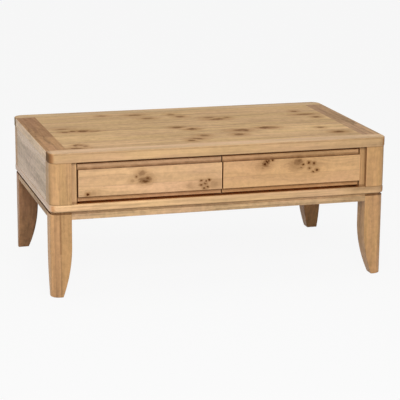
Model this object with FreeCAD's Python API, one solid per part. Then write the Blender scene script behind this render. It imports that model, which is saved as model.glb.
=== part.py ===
import FreeCAD, Part
import math
import os

# Coffee table with two handleless drawers side by side, in solid oak.
# A framed top lies on a drawer case, the case stands on a moulded base frame, and four legs with curved
# inner faces, joined by low aprons, carry the base frame.
# Millimetres. X runs along the table, Y from the front to the back, Z up.
# The origin is on the floor under the middle of the top.

# Whole table
table_length = 1100.0
table_depth = 650.0
table_height = 455.0
corner_radius = 30.0
overrun = 5.0
same_place = 0.01

# Top: front and rear rails, end boards between them, and a field panel, joined by tongues
top_thickness = 30.0
top_rail_width = 55.0
top_end_width = 65.0
top_upper_round = 4.0
top_lower_round = 2.0
top_tongue_thickness = 10.0
top_tongue_length = 12.0

# Drawer case: corner posts, panels and the stiles beside the drawers
case_height = 131.0
case_setback = 1.5
post_width = 67.0
arris_round = 1.5
end_panel_thickness = 20.0
back_panel_thickness = 18.0
panel_tongue_thickness = 8.0
panel_tongue_length = 10.0
stile_width = 18.0
stile_thickness = 17.0
stile_setback = 13.0
stile_tongue_thickness = 8.0
stile_tongue_length = 6.0

# Inside the case: tie rails and cleats that hold the top, divider and drawer guides
tie_thickness = 18.0
front_tie_width = 96.0
rear_tie_width = 45.0
tie_tenon_length = 20.0
tie_tenon_thickness = 10.0
tie_tenon_shoulder = 6.0
cleat_width = 20.0
cleat_height = 20.0
divider_thickness = 22.0
guide_thickness = 20.0

# Drawers: fronts with a raised field between two rebated bands
drawer_rear_space = 83.5
drawer_gap = 3.2
front_setback = 4.0
front_side_gap = 2.6
front_upper_gap = 8.3
front_lower_gap = 6.2
front_closing_gap = 0.5
front_thickness = 26.0
front_round = 2.0
upper_band_height = 16.2
lower_band_height = 14.8
band_depth = 13.0

# Drawers: boxes, joined to the fronts by sliding dovetails
side_thickness = 14.0
side_run_gap = 4.0
side_lift = 8.8
side_head_room = 10.0
side_tail_length = 10.0
dovetail_wall = 3.0
dovetail_neck = 8.0
dovetail_tip = 11.0
back_thickness = 14.0
back_drop = 5.0
back_housing_depth = 6.0
bottom_thickness = 6.0
bottom_lift = 8.0
bottom_groove_depth = 6.0

# Drawers: wooden runners in grooves along the sides, and the stop blocks that end the travel
runner_height = 9.4
runner_reach = 7.0
runner_slack = 0.3
runner_floor_gap = 0.5
runner_end_gap = 3.0
runner_screw_margin = 1.0
stop_width = 60.0
stop_thickness = 14.0
stop_seat_height = 22.0
stop_catch = 7.0

# Base frame: mitred boards whose outer edge is the moulding round the table, with a groove for the
# fingertips in the front one, under the drawers
base_frame_thickness = 23.0
base_frame_width = 75.0
moulding_setback = 0.5
moulding_upper_round = 5.0
moulding_lower_round = 5.0
finger_groove_depth = 6.0
finger_groove_lip = 8.0
finger_groove_width = 43.0

# Aprons between the legs
apron_height = 25.0
apron_thickness = 26.0
apron_setback = 4.0
apron_tenon_length = 20.0
apron_tenon_thickness = 10.0
apron_tenon_shoulder = 5.0

# Quirk that runs under the moulding, round legs and aprons
quirk_height = 7.0
quirk_depth = 4.0

# Legs: straight outer faces, inner faces that curve in to a narrower foot
leg_width = 65.0
leg_setback = 3.5
leg_curve_height = 165.0
leg_arris_round = 2.0
foot_width = 36.0
foot_round = 2.0

# Corner blocks behind the legs, with a hanger bolt, washer and nut in each
block_wall = 25.0
bolt_radius = 4.0
bolt_depth = 40.0
bolt_end = 3.0
washer_radius = 10.0
washer_thickness = 1.6
nut_flats = 13.0
nut_thickness = 6.5
fixing_slack = 0.15

# Dowels between the posts and the base frame
dowel_radius = 5.0
dowel_rise = 20.0
dowel_drop = 18.0
dowel_spread = 28.0

# Countersunk wood screws
screw_radius = 2.0
screw_head_radius = 4.0
screw_tip_length = 4.0
screw_slot_width = 1.0
screw_slot_depth = 1.2
long_screw_length = 35.0
block_screw_length = 21.0
drawer_screw_length = 20.0
screw_inset = 40.0
tie_screw_share = 0.75
guide_screw_inset = 28.0
block_screw_seat = 12.0

# Places worked out from the sizes above
half_length = table_length / 2
half_depth = table_depth / 2
top_under = table_height - top_thickness
case_floor = top_under - case_height
leg_top = case_floor - base_frame_thickness
case_x = half_length - case_setback
case_y = half_depth - case_setback
post_in_x = case_x - post_width
post_in_y = case_y - post_width
panel_in_x = case_x - end_panel_thickness
panel_in_y = case_y - back_panel_thickness
stile_in_x = post_in_x - stile_width
guide_in_x = post_in_x - guide_thickness
tie_under = top_under - tie_thickness

stile_y = stile_setback - case_y
front_y = front_setback - case_y
band_y = front_y + band_depth
front_back_y = front_y + front_thickness
front_in_x = drawer_gap / 2
front_out_x = stile_in_x - front_side_gap
front_low_z = case_floor + front_lower_gap
front_high_z = top_under - front_upper_gap

tie_front_y = front_back_y + front_closing_gap
tie_back_y = tie_front_y + front_tie_width
stile_back_y = stile_y + stile_thickness

side_low_z = front_low_z + side_lift
side_high_z = tie_under - side_head_room
box_in_x = divider_thickness / 2 + side_run_gap
box_out_x = guide_in_x - side_run_gap
box_end_y = panel_in_y - drawer_rear_space
back_end_y = box_end_y - side_tail_length
back_front_y = back_end_y - back_thickness
stop_front_y = back_front_y - stop_thickness
dovetail_length = front_thickness - band_depth - dovetail_wall
bottom_low_z = side_low_z + bottom_lift
bottom_high_z = bottom_low_z + bottom_thickness
runner_z = (side_low_z + side_high_z) / 2
runner_thickness = side_run_gap + runner_reach
runner_screw_length = runner_thickness + divider_thickness / 2 - runner_screw_margin
runner_front_y = front_back_y + runner_end_gap
runner_back_y = box_end_y

frame_x = half_length - moulding_setback
frame_y = half_depth - moulding_setback
apron_x = half_length - apron_setback
apron_y = half_depth - apron_setback
apron_low_z = leg_top - apron_height
apron_mid_z = leg_top - apron_height / 2
leg_x = half_length - leg_setback
leg_y = half_depth - leg_setback
leg_in_x = leg_x - leg_width
leg_in_y = leg_y - leg_width
apron_in_x = apron_x - apron_thickness
apron_in_y = apron_y - apron_thickness
block_arm = apron_in_x - leg_in_x + block_wall * math.sqrt(2)


# Helpers

def vec(x, y, z):
    return FreeCAD.Vector(x, y, z)


def block(x_span, y_span, z_span):
    size = [span[1] - span[0] for span in (x_span, y_span, z_span)]
    return Part.makeBox(*size, vec(x_span[0], y_span[0], z_span[0]))


def prism(outline, z_span):
    corners = [vec(x, y, z_span[0]) for x, y in outline]
    face = Part.Face(Part.makePolygon(corners + corners[:1]))
    return face.extrude(vec(0, 0, z_span[1] - z_span[0]))


def cut_all(shape, tools):
    for tool in tools:
        shape = shape.cut(tool)
    return shape


def join_all(shape, others):
    for other in others:
        shape = shape.fuse(other)
    return shape.removeSplitter()


def is_at(value, place):
    return abs(value - place) < same_place


def edges_at(shape, x=None, y=None, z=None):
    """The edges that lie wholly at the given places along the axes."""
    found = []
    for edge in shape.Edges:
        points = [vertex.Point for vertex in edge.Vertexes]
        points.append(edge.valueAt((edge.FirstParameter + edge.LastParameter) / 2))
        fits = [
            (x is None or is_at(p.x, x)) and (y is None or is_at(p.y, y)) and (z is None or is_at(p.z, z))
            for p in points
        ]
        if all(fits):
            found.append(edge)
    return found


def mirrored_x(shape):
    return shape.mirror(vec(0, 0, 0), vec(1, 0, 0))


def mirrored_y(shape):
    return shape.mirror(vec(0, 0, 0), vec(0, 1, 0))


def four_corners(shape):
    """A shape at the right rear corner, repeated at all four corners."""
    rear = [shape, mirrored_x(shape)]
    return rear + [mirrored_y(one) for one in rear]


def aimed(shape, place, direction):
    """A shape made along +Z, turned to a direction and moved to its place."""
    turned = shape.copy()
    turned.Placement = FreeCAD.Placement(place, FreeCAD.Rotation(vec(0, 0, 1), direction))
    return turned


def rod(radius, start, end):
    axis = end - start
    return Part.makeCylinder(radius, axis.Length, start, axis)


# Screws

def screw_profile(length, slack, rise):
    """Half outline of a countersunk screw, or with slack and rise of its hole."""
    shank = screw_radius + slack
    head = screw_head_radius + slack
    outline = [(0, -rise), (head, -rise), (head, 0), (shank, head - shank)]
    outline += [(shank, length - screw_tip_length + slack), (0, length + slack)]
    places = []
    for radius, depth in outline:
        if (radius, depth) not in places:
            places.append((radius, depth))
    corners = [vec(radius, 0, depth) for radius, depth in places]
    face = Part.Face(Part.makePolygon(corners + corners[:1]))
    return face.revolve(vec(0, 0, 0), vec(0, 0, 1), 360)


def screw(length):
    body = screw_profile(length, 0, 0)
    reach = screw_head_radius
    half = screw_slot_width / 2
    for spans in (((-reach, reach), (-half, half)), ((-half, half), (-reach, reach))):
        body = body.cut(block(*spans, (0, screw_slot_depth)))
    return body


def screws_at(places, length):
    one = screw(length)
    return [aimed(one, place, direction) for place, direction in places]


def screw_holes(places, length):
    one = screw_profile(length, fixing_slack, overrun)
    return [aimed(one, place, direction) for place, direction in places]


# Top

def top_slab():
    slab = block((-half_length, half_length), (-half_depth, half_depth), (top_under, table_height))
    corners = []
    for x in (-half_length, half_length):
        for y in (-half_depth, half_depth):
            corners += edges_at(slab, x=x, y=y)
    slab = slab.makeFillet(corner_radius, corners)
    slab = slab.makeFillet(top_upper_round, edges_at(slab, z=table_height))
    return slab.makeFillet(top_lower_round, edges_at(slab, z=top_under))


def top_tongue_ring(x_span, y_span):
    """The band of space that the tongues of a panel fill, round its edges."""
    mid_z = (top_under + table_height) / 2
    half = top_tongue_thickness / 2
    grown_x = (x_span[0] - top_tongue_length, x_span[1] + top_tongue_length)
    grown_y = (y_span[0] - top_tongue_length, y_span[1] + top_tongue_length)
    return block(grown_x, grown_y, (mid_z - half, mid_z + half))


def top_pieces():
    slab = top_slab()
    full_x = (-half_length - overrun, half_length + overrun)
    full_z = (top_under - overrun, table_height + overrun)
    rail_in_y = half_depth - top_rail_width
    end_in_x = half_length - top_end_width
    field = block((-end_in_x, end_in_x), (-rail_in_y, rail_in_y), (top_under, table_height))
    field = join_all(field, [top_tongue_ring((-end_in_x, end_in_x), (-rail_in_y, rail_in_y))])
    front = slab.common(block(full_x, (-half_depth - overrun, -rail_in_y), full_z))
    end = slab.common(block((end_in_x, half_length + overrun), (-rail_in_y, rail_in_y), full_z))
    tenon_x = (end_in_x, half_length - corner_radius)
    mid_z = (top_under + table_height) / 2
    half = top_tongue_thickness / 2
    tenon_y = rail_in_y + top_tongue_length
    tenon = block(tenon_x, (-tenon_y, tenon_y), (mid_z - half, mid_z + half))
    end = join_all(end, [tenon]).cut(field)
    front = cut_all(front, [field, end, mirrored_x(end)])
    holes = screw_holes(top_screw_places(), long_screw_length)
    return {
        "top_field_panel": cut_all(field, holes),
        "top_front_rail": cut_all(front, holes),
        "top_rear_rail": cut_all(mirrored_y(front), holes),
        "top_right_end_board": cut_all(end, holes),
        "top_left_end_board": cut_all(mirrored_x(end), holes),
    }


def top_screw_places():
    """Screws that go up through the tie rails and cleats into the top."""
    places = []
    inner_x = box_in_x + screw_inset
    for x in (inner_x, post_in_x * tie_screw_share):
        for y in ((tie_front_y + tie_back_y) / 2, panel_in_y - rear_tie_width / 2):
            places += [(x, y, tie_under), (-x, y, tie_under)]
    cleat_x = panel_in_x - cleat_width / 2
    for y in (screw_inset - post_in_y, 0, post_in_y - screw_inset):
        places += [(cleat_x, y, top_under - cleat_height), (-cleat_x, y, top_under - cleat_height)]
    return [(vec(*place), vec(0, 0, 1)) for place in places]


# Case

def case_dowel_places():
    """Plan places of the two dowels in the right rear post."""
    mid_x = case_x - post_width / 2
    mid_y = case_y - post_width / 2
    half = dowel_spread / 2
    return [(mid_x - half, mid_y), (mid_x + half, mid_y)]


def case_dowels(slack):
    rods = []
    for x, y in case_dowel_places():
        low = case_floor - dowel_drop - slack
        high = case_floor + dowel_rise + slack
        rods += four_corners(rod(dowel_radius + slack, vec(x, y, low), vec(x, y, high)))
    return rods


def tongue_span(outer, thickness):
    """The middle band of a panel that reaches from its outer face inwards."""
    middle = outer - thickness / 2
    half = panel_tongue_thickness / 2
    return (middle - half, middle + half)


def end_panel():
    panel = block((panel_in_x, case_x), (-post_in_y, post_in_y), (case_floor, top_under))
    reach = post_in_y + panel_tongue_length
    tongue = block(tongue_span(case_x, end_panel_thickness), (-reach, reach), (case_floor, top_under))
    return join_all(panel, [tongue])


def back_panel():
    panel = block((-post_in_x, post_in_x), (panel_in_y, case_y), (case_floor, top_under))
    reach = post_in_x + panel_tongue_length
    tongue = block((-reach, reach), tongue_span(case_y, back_panel_thickness), (case_floor, top_under))
    return join_all(panel, [tongue])


def stile():
    strip = block((stile_in_x, post_in_x), (stile_y, stile_back_y), (case_floor, top_under))
    strip = strip.makeFillet(arris_round, edges_at(strip, x=stile_in_x, y=stile_y))
    mid_y = (stile_y + stile_back_y) / 2
    half = stile_tongue_thickness / 2
    reach = (post_in_x, post_in_x + stile_tongue_length)
    return join_all(strip, [block(reach, (mid_y - half, mid_y + half), (case_floor, top_under))])


def tie_rail(y_span, tenon_y_span):
    rail = block((-post_in_x, post_in_x), y_span, (tie_under, top_under))
    mid_z = (tie_under + top_under) / 2
    half = tie_tenon_thickness / 2
    reach = post_in_x + tie_tenon_length
    return join_all(rail, [block((-reach, reach), tenon_y_span, (mid_z - half, mid_z + half))])


def front_tie_rail():
    tenon = (tie_front_y + tie_tenon_shoulder, -post_in_y - tie_tenon_shoulder)
    return tie_rail((tie_front_y, tie_back_y), tenon)


def rear_tie_rail():
    front = panel_in_y - rear_tie_width
    tenon = (max(front, post_in_y) + tie_tenon_shoulder, panel_in_y - tie_tenon_shoulder)
    return tie_rail((front, panel_in_y), tenon)


def post():
    """The right rear post as a plain block with its outer corner rounded."""
    column = block((post_in_x, case_x), (post_in_y, case_y), (case_floor, top_under))
    return column.makeFillet(corner_radius - case_setback, edges_at(column, x=case_x, y=case_y))


def guide():
    return block((guide_in_x, post_in_x), (stile_back_y, panel_in_y), (case_floor, side_high_z))


def guide_screw_places():
    places = []
    for y in ((stile_back_y - post_in_y) / 2, (post_in_y + panel_in_y) / 2):
        for z in (case_floor + guide_screw_inset, side_high_z - guide_screw_inset):
            places.append((vec(guide_in_x, y, z), vec(1, 0, 0)))
    return places


def centre_divider():
    half = divider_thickness / 2
    board = block((-half, half), (tie_front_y, panel_in_y), (case_floor, top_under))
    return cut_all(board, [front_tie_rail(), rear_tie_rail()])


def runner(side):
    """A runner on the right guide board, or on the right face of the divider."""
    half = runner_height / 2
    if side == "outer":
        x_span = (guide_in_x - runner_thickness, guide_in_x)
    else:
        x_span = (divider_thickness / 2, divider_thickness / 2 + runner_thickness)
    return block(x_span, (runner_front_y, runner_back_y), (runner_z - half, runner_z + half))


def runner_screw_places(side):
    middle = (runner_front_y + runner_back_y) / 2
    places = []
    for y in (runner_front_y + screw_inset, middle, runner_back_y - screw_inset):
        if side == "outer":
            places.append((vec(guide_in_x - runner_thickness, y, runner_z), vec(1, 0, 0)))
        else:
            places.append((vec(divider_thickness / 2 + runner_thickness, y, runner_z), vec(-1, 0, 0)))
    return places


def cleat():
    x_span = (panel_in_x - cleat_width, panel_in_x)
    return block(x_span, (-post_in_y, post_in_y), (top_under - cleat_height, top_under))


def case_pieces():
    dowel_holes = case_dowels(fixing_slack)
    guide_holes = screw_holes(guide_screw_places(), long_screw_length)
    outer_holes = screw_holes(runner_screw_places("outer"), runner_screw_length)
    inner_holes = screw_holes(runner_screw_places("inner"), runner_screw_length)
    top_holes = screw_holes(top_screw_places(), long_screw_length)

    rear_post = cut_all(post(), [end_panel(), back_panel(), rear_tie_rail()] + dowel_holes + guide_holes)
    front_post = mirrored_y(post())
    front_post = front_post.makeFillet(arris_round, edges_at(front_post, x=post_in_x, y=-case_y))
    front_post = cut_all(front_post, [end_panel(), stile(), front_tie_rail()] + dowel_holes + guide_holes)
    right_guide = cut_all(guide(), guide_holes + outer_holes)
    divider = cut_all(centre_divider(), inner_holes + [mirrored_x(hole) for hole in inner_holes])
    outer_runner = cut_all(runner("outer"), outer_holes)
    inner_runner = cut_all(runner("inner"), inner_holes)
    right_cleat = cut_all(cleat(), top_holes)
    return {
        "front_right_post": front_post,
        "front_left_post": mirrored_x(front_post),
        "rear_right_post": rear_post,
        "rear_left_post": mirrored_x(rear_post),
        "right_end_panel": end_panel(),
        "left_end_panel": mirrored_x(end_panel()),
        "back_panel": back_panel(),
        "right_stile": stile(),
        "left_stile": mirrored_x(stile()),
        "front_tie_rail": cut_all(front_tie_rail(), top_holes),
        "rear_tie_rail": cut_all(rear_tie_rail(), top_holes),
        "centre_divider": divider,
        "right_drawer_guide": right_guide,
        "left_drawer_guide": mirrored_x(right_guide),
        "right_outer_runner": outer_runner,
        "left_outer_runner": mirrored_x(outer_runner),
        "right_inner_runner": inner_runner,
        "left_inner_runner": mirrored_x(inner_runner),
        "right_top_cleat": right_cleat,
        "left_top_cleat": mirrored_x(right_cleat),
    }


# Base frame

def base_frame_slab():
    slab = block((-frame_x, frame_x), (-frame_y, frame_y), (leg_top, case_floor))
    corners = []
    for x in (-frame_x, frame_x):
        for y in (-frame_y, frame_y):
            corners += edges_at(slab, x=x, y=y)
    slab = slab.makeFillet(corner_radius - moulding_setback, corners)
    slab = slab.makeFillet(moulding_upper_round, edges_at(slab, z=case_floor))
    return slab.makeFillet(moulding_lower_round, edges_at(slab, z=leg_top))


def base_frame_pieces():
    slab = base_frame_slab()
    out_x = frame_x + overrun
    out_y = frame_y + overrun
    in_x = frame_x - base_frame_width
    in_y = frame_y - base_frame_width
    z_span = (leg_top - overrun, case_floor + overrun)
    long_board = prism([(-out_x, -out_y), (out_x, -out_y), (in_x, -in_y), (-in_x, -in_y)], z_span)
    short_board = prism([(out_x, -out_y), (out_x, out_y), (in_x, in_y), (in_x, -in_y)], z_span)
    holes = case_dowels(fixing_slack)
    front = cut_all(slab.common(long_board), holes)
    right = cut_all(slab.common(short_board), holes)
    return {
        "base_frame_front": front.cut(finger_groove()),
        "base_frame_rear": mirrored_y(front),
        "base_frame_right": right,
        "base_frame_left": mirrored_x(right),
    }


def finger_groove():
    """The groove along the front board, between the stiles, that leaves room under the drawers."""
    front = finger_groove_lip - frame_y
    z_span = (case_floor - finger_groove_depth, case_floor + overrun)
    return block((-stile_in_x, stile_in_x), (front, front + finger_groove_width), z_span)


# Legs and aprons

def leg_curve_tool(inner, along):
    """What is cut from the inner face of the right rear leg, along X or Y, to curve it in to the foot."""
    taper = leg_width - foot_width
    radius = (leg_curve_height ** 2 + taper ** 2) / (2 * taper)
    turn = math.asin(leg_curve_height / radius) / 2
    mid_in = inner + radius * (1 - math.cos(turn))
    mid_z = leg_curve_height - radius * math.sin(turn)
    places = [(inner, leg_curve_height), (mid_in, mid_z), (inner + taper, 0)]
    outside = [(inner + taper, -overrun), (inner - overrun, -overrun), (inner - overrun, leg_curve_height)]
    if along == "x":
        reach = vec(0, leg_width + 2 * overrun, 0)
        points = [vec(place, leg_in_y - overrun, z) for place, z in places + outside]
    else:
        reach = vec(leg_width + 2 * overrun, 0, 0)
        points = [vec(leg_in_x - overrun, place, z) for place, z in places + outside]
    curve = Part.Arc(points[0], points[1], points[2]).toShape()
    rest = Part.makePolygon(points[2:] + points[:1])
    return Part.Face(Part.Wire([curve] + rest.Edges)).extrude(reach)


def leg_quirk():
    """What is cut from the outer faces of the right rear leg, just under the moulding."""
    low = leg_top - quirk_height
    around = block((leg_in_x - overrun, leg_x + overrun), (leg_in_y - overrun, leg_y + overrun),
                   (low, leg_top + overrun))
    neck_x = leg_x - quirk_depth
    neck_y = leg_y - quirk_depth
    neck = block((leg_in_x - 2 * overrun, neck_x), (leg_in_y - 2 * overrun, neck_y), (low, leg_top + overrun))
    neck_round = corner_radius - leg_setback - quirk_depth
    return around.cut(neck.makeFillet(neck_round, edges_at(neck, x=neck_x, y=neck_y)))


def leg():
    """The right rear leg, before its mortises and bolt hole."""
    column = block((leg_in_x, leg_x), (leg_in_y, leg_y), (0, leg_top))
    column = column.makeFillet(corner_radius - leg_setback, edges_at(column, x=leg_x, y=leg_y))
    column = column.cut(leg_curve_tool(leg_in_x, "x"))
    column = column.cut(leg_curve_tool(leg_in_y, "y"))
    arrises = []
    for edge in column.Edges:
        low = min(vertex.Z for vertex in edge.Vertexes)
        high = max(vertex.Z for vertex in edge.Vertexes)
        middle = edge.valueAt((edge.FirstParameter + edge.LastParameter) / 2)
        on_corner = middle.x > leg_x - corner_radius and middle.y > leg_y - corner_radius
        if high - low > leg_width and not on_corner:
            arrises.append(edge)
    column = column.makeFillet(leg_arris_round, arrises)
    column = column.makeFillet(foot_round, edges_at(column, z=0))
    return column.cut(leg_quirk())


def apron(along):
    """The rear apron along X, or the right apron along Y, with a tenon at each end and its quirk."""
    z_span = (apron_low_z, leg_top)
    quirk_z = (leg_top - quirk_height, leg_top + overrun)
    tenon_z = (apron_low_z + apron_tenon_shoulder, leg_top - apron_tenon_shoulder)
    half = apron_tenon_thickness / 2
    if along == "x":
        middle = apron_y - apron_thickness / 2
        board = block((-leg_in_x, leg_in_x), (apron_in_y, apron_y), z_span)
        board = board.makeFillet(arris_round, edges_at(board, y=apron_y, z=apron_low_z))
        reach = leg_in_x + apron_tenon_length
        tenon = block((-reach, reach), (middle - half, middle + half), tenon_z)
        quirk = block((-reach, reach), (apron_y - quirk_depth, apron_y + overrun), quirk_z)
    else:
        middle = apron_x - apron_thickness / 2
        board = block((apron_in_x, apron_x), (-leg_in_y, leg_in_y), z_span)
        board = board.makeFillet(arris_round, edges_at(board, x=apron_x, z=apron_low_z))
        reach = leg_in_y + apron_tenon_length
        tenon = block((middle - half, middle + half), (-reach, reach), tenon_z)
        quirk = block((apron_x - quirk_depth, apron_x + overrun), (-reach, reach), quirk_z)
    return join_all(board, [tenon]).cut(quirk)


def corner_block():
    """Block in the right rear corner, notched round the leg, with a flat face across the corner."""
    outline = [(leg_in_x, leg_in_y), (leg_in_x, apron_in_y), (leg_in_x - block_arm, apron_in_y)]
    outline += [(apron_in_x, leg_in_y - block_arm), (apron_in_x, leg_in_y)]
    return prism(outline, (apron_low_z, leg_top))


def bolt_axis():
    """Unit direction of the right rear hanger bolt, and its point on the leg's inner corner."""
    return vec(math.sqrt(0.5), math.sqrt(0.5), 0), vec(leg_in_x, leg_in_y, apron_mid_z)


def bolt_hole():
    direction, corner = bolt_axis()
    start = corner - direction * (block_wall + overrun)
    return rod(bolt_radius + fixing_slack, start, corner + direction * (bolt_depth + fixing_slack))


def leg_bolt():
    direction, corner = bolt_axis()
    outer = block_wall + washer_thickness + nut_thickness + bolt_end
    return rod(bolt_radius, corner - direction * outer, corner + direction * bolt_depth)


def leg_washer():
    direction, corner = bolt_axis()
    seat = corner - direction * block_wall
    disc = rod(washer_radius, seat - direction * washer_thickness, seat)
    return disc.cut(bolt_hole_past_block())


def bolt_hole_past_block():
    direction, corner = bolt_axis()
    outer = block_wall + washer_thickness + nut_thickness + bolt_end + overrun
    return rod(bolt_radius + fixing_slack, corner - direction * outer, corner)


def leg_nut():
    direction, corner = bolt_axis()
    seat = corner - direction * (block_wall + washer_thickness)
    corner_reach = nut_flats / math.sqrt(3)
    corners = []
    for step in range(6):
        angle = math.radians(60 * step)
        corners.append((corner_reach * math.cos(angle), corner_reach * math.sin(angle)))
    hexagon = prism(corners, (0, nut_thickness))
    return aimed(hexagon, seat, vec(0, 0, 0) - direction).cut(bolt_hole_past_block())


def block_screw_places():
    """Screws from the right rear corner block into its two aprons."""
    along = block_arm / 2
    return [
        (vec(leg_in_x - along, apron_in_y - block_screw_seat, apron_mid_z), vec(0, 1, 0)),
        (vec(apron_in_x - block_screw_seat, leg_in_y - along, apron_mid_z), vec(1, 0, 0)),
    ]


def stand_pieces():
    block_holes = screw_holes(block_screw_places(), block_screw_length)
    corner_holes = [bolt_hole()]
    rear_right_leg = cut_all(leg(), [apron("x"), apron("y")] + corner_holes)
    rear_apron = cut_all(apron("x"), block_holes + [mirrored_x(hole) for hole in block_holes])
    right_apron = cut_all(apron("y"), block_holes + [mirrored_y(hole) for hole in block_holes])
    bored_block = cut_all(corner_block(), block_counterbores() + block_holes + corner_holes)
    return {
        "rear_right_leg": rear_right_leg,
        "rear_left_leg": mirrored_x(rear_right_leg),
        "front_right_leg": mirrored_y(rear_right_leg),
        "front_left_leg": mirrored_y(mirrored_x(rear_right_leg)),
        "rear_apron": rear_apron,
        "front_apron": mirrored_y(rear_apron),
        "right_apron": right_apron,
        "left_apron": mirrored_x(right_apron),
        "corner_blocks": Part.makeCompound(four_corners(bored_block)),
    }


def block_counterbores():
    """Wells that let the screw heads into the corner block."""
    wells = []
    for place, direction in block_screw_places():
        start = place - direction * block_arm
        wells.append(rod(screw_head_radius + fixing_slack, start, place))
    return wells


# Drawers

def side_x_span(side):
    if side == "outer":
        return (box_out_x - side_thickness, box_out_x)
    return (box_in_x, box_in_x + side_thickness)


def dovetail(side, z_span):
    """The sliding dovetail at the front end of a drawer side."""
    x_span = side_x_span(side)
    middle = (x_span[0] + x_span[1]) / 2
    neck = dovetail_neck / 2
    tip = dovetail_tip / 2
    tip_y = front_back_y - dovetail_length
    outline = [(middle - neck, front_back_y), (middle - tip, tip_y)]
    outline += [(middle + tip, tip_y), (middle + neck, front_back_y)]
    return prism(outline, z_span)


def bottom_board():
    x_span = (side_x_span("inner")[1] - bottom_groove_depth, side_x_span("outer")[0] + bottom_groove_depth)
    y_span = (front_back_y - bottom_groove_depth, back_end_y)
    return block(x_span, y_span, (bottom_low_z, bottom_high_z))


def back_board():
    x_span = (side_x_span("inner")[1] - back_housing_depth, side_x_span("outer")[0] + back_housing_depth)
    return block(x_span, (back_front_y, back_end_y), (bottom_high_z, side_high_z - back_drop))


def drawer_side(side):
    x_span = side_x_span(side)
    board = block(x_span, (front_back_y, box_end_y), (side_low_z, side_high_z))
    board = join_all(board, [dovetail(side, (side_low_z, side_high_z))])
    depth = runner_reach + runner_floor_gap
    half = runner_height / 2 + runner_slack
    groove_y = (runner_front_y - runner_floor_gap, box_end_y + overrun)
    groove_z = (runner_z - half, runner_z + half)
    if side == "outer":
        groove = block((box_out_x - depth, box_out_x + overrun), groove_y, groove_z)
    else:
        groove = block((box_in_x - overrun, box_in_x + depth), groove_y, groove_z)
    slot = bottom_board()
    way_in = block((slot.BoundBox.XMin, slot.BoundBox.XMax), (back_end_y, box_end_y + overrun),
                   (bottom_low_z, bottom_high_z))
    return cut_all(board, [groove, slot, way_in, back_board()])


def drawer_front():
    middle_low = front_low_z + lower_band_height
    middle_high = front_high_z - upper_band_height
    backing = block((front_in_x, front_out_x), (band_y, front_back_y), (front_low_z, front_high_z))
    field = block((front_in_x, front_out_x), (front_y, band_y), (middle_low, middle_high))
    board = join_all(backing, [field])
    board = board.makeFillet(front_round, edges_at(board, y=front_y))
    slots = [dovetail(side, (front_low_z - overrun, side_high_z)) for side in ("inner", "outer")]
    return cut_all(board, slots + [bottom_board()])


def stop_block():
    middle = (box_in_x + box_out_x) / 2
    half = stop_width / 2
    z_span = (side_high_z - back_drop - stop_seat_height, tie_under + stop_catch)
    return block((middle - half, middle + half), (stop_front_y, back_front_y), z_span)


def drawer_screw_places():
    """Screws through the stop block into the drawer back, and up through the bottom into the back."""
    middle = (box_in_x + box_out_x) / 2
    stop_z = side_high_z - back_drop - stop_seat_height / 2
    back_y = (back_front_y + back_end_y) / 2
    places = []
    for step in (-1, 1):
        places.append((vec(middle + step * stop_width / 4, stop_front_y, stop_z), vec(0, 1, 0)))
    span = box_out_x - box_in_x - 2 * (side_thickness + screw_inset)
    for step in (-1, 0, 1):
        places.append((vec(middle + step * span / 2, back_y, bottom_low_z), vec(0, 0, 1)))
    return places


def right_drawer():
    holes = screw_holes(drawer_screw_places(), drawer_screw_length)
    return {
        "front": drawer_front(),
        "outer_side": drawer_side("outer"),
        "inner_side": drawer_side("inner"),
        "back": cut_all(back_board(), holes),
        "bottom": cut_all(bottom_board(), holes),
        "stop_block": cut_all(stop_block(), holes),
        "screws": Part.makeCompound(screws_at(drawer_screw_places(), drawer_screw_length)),
    }


# Fixings

def fixing_pieces():
    runner_places = runner_screw_places("outer") + runner_screw_places("inner")
    runner_screws = screws_at(runner_places, runner_screw_length)
    guide_screws = screws_at(guide_screw_places(), long_screw_length)
    corner_screws = []
    for one in screws_at(block_screw_places(), block_screw_length):
        corner_screws += four_corners(one)
    groups = {
        "case_dowels": case_dowels(0),
        "runner_screws": runner_screws + [mirrored_x(one) for one in runner_screws],
        "guide_screws": guide_screws + [mirrored_x(one) for one in guide_screws],
        "top_screws": screws_at(top_screw_places(), long_screw_length),
        "corner_block_screws": corner_screws,
        "leg_bolts": four_corners(leg_bolt()),
        "leg_washers": four_corners(leg_washer()),
        "leg_nuts": four_corners(leg_nut()),
    }
    return {name: Part.makeCompound(solids) for name, solids in groups.items()}


def all_pieces():
    pieces = {}
    pieces.update(top_pieces())
    pieces.update(case_pieces())
    pieces.update(base_frame_pieces())
    pieces.update(stand_pieces())
    pieces.update(fixing_pieces())
    for name, shape in right_drawer().items():
        pieces["right_drawer_" + name] = shape
        pieces["left_drawer_" + name] = mirrored_x(shape)
    return pieces


os.makedirs("parts", exist_ok=True)
for node, shape in all_pieces().items():
    shape.exportStep("parts/" + node + ".step")
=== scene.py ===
import math

import bmesh
import bpy
from bpy.props import FloatProperty, FloatVectorProperty, PointerProperty
from mathutils import Matrix, Vector


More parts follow.
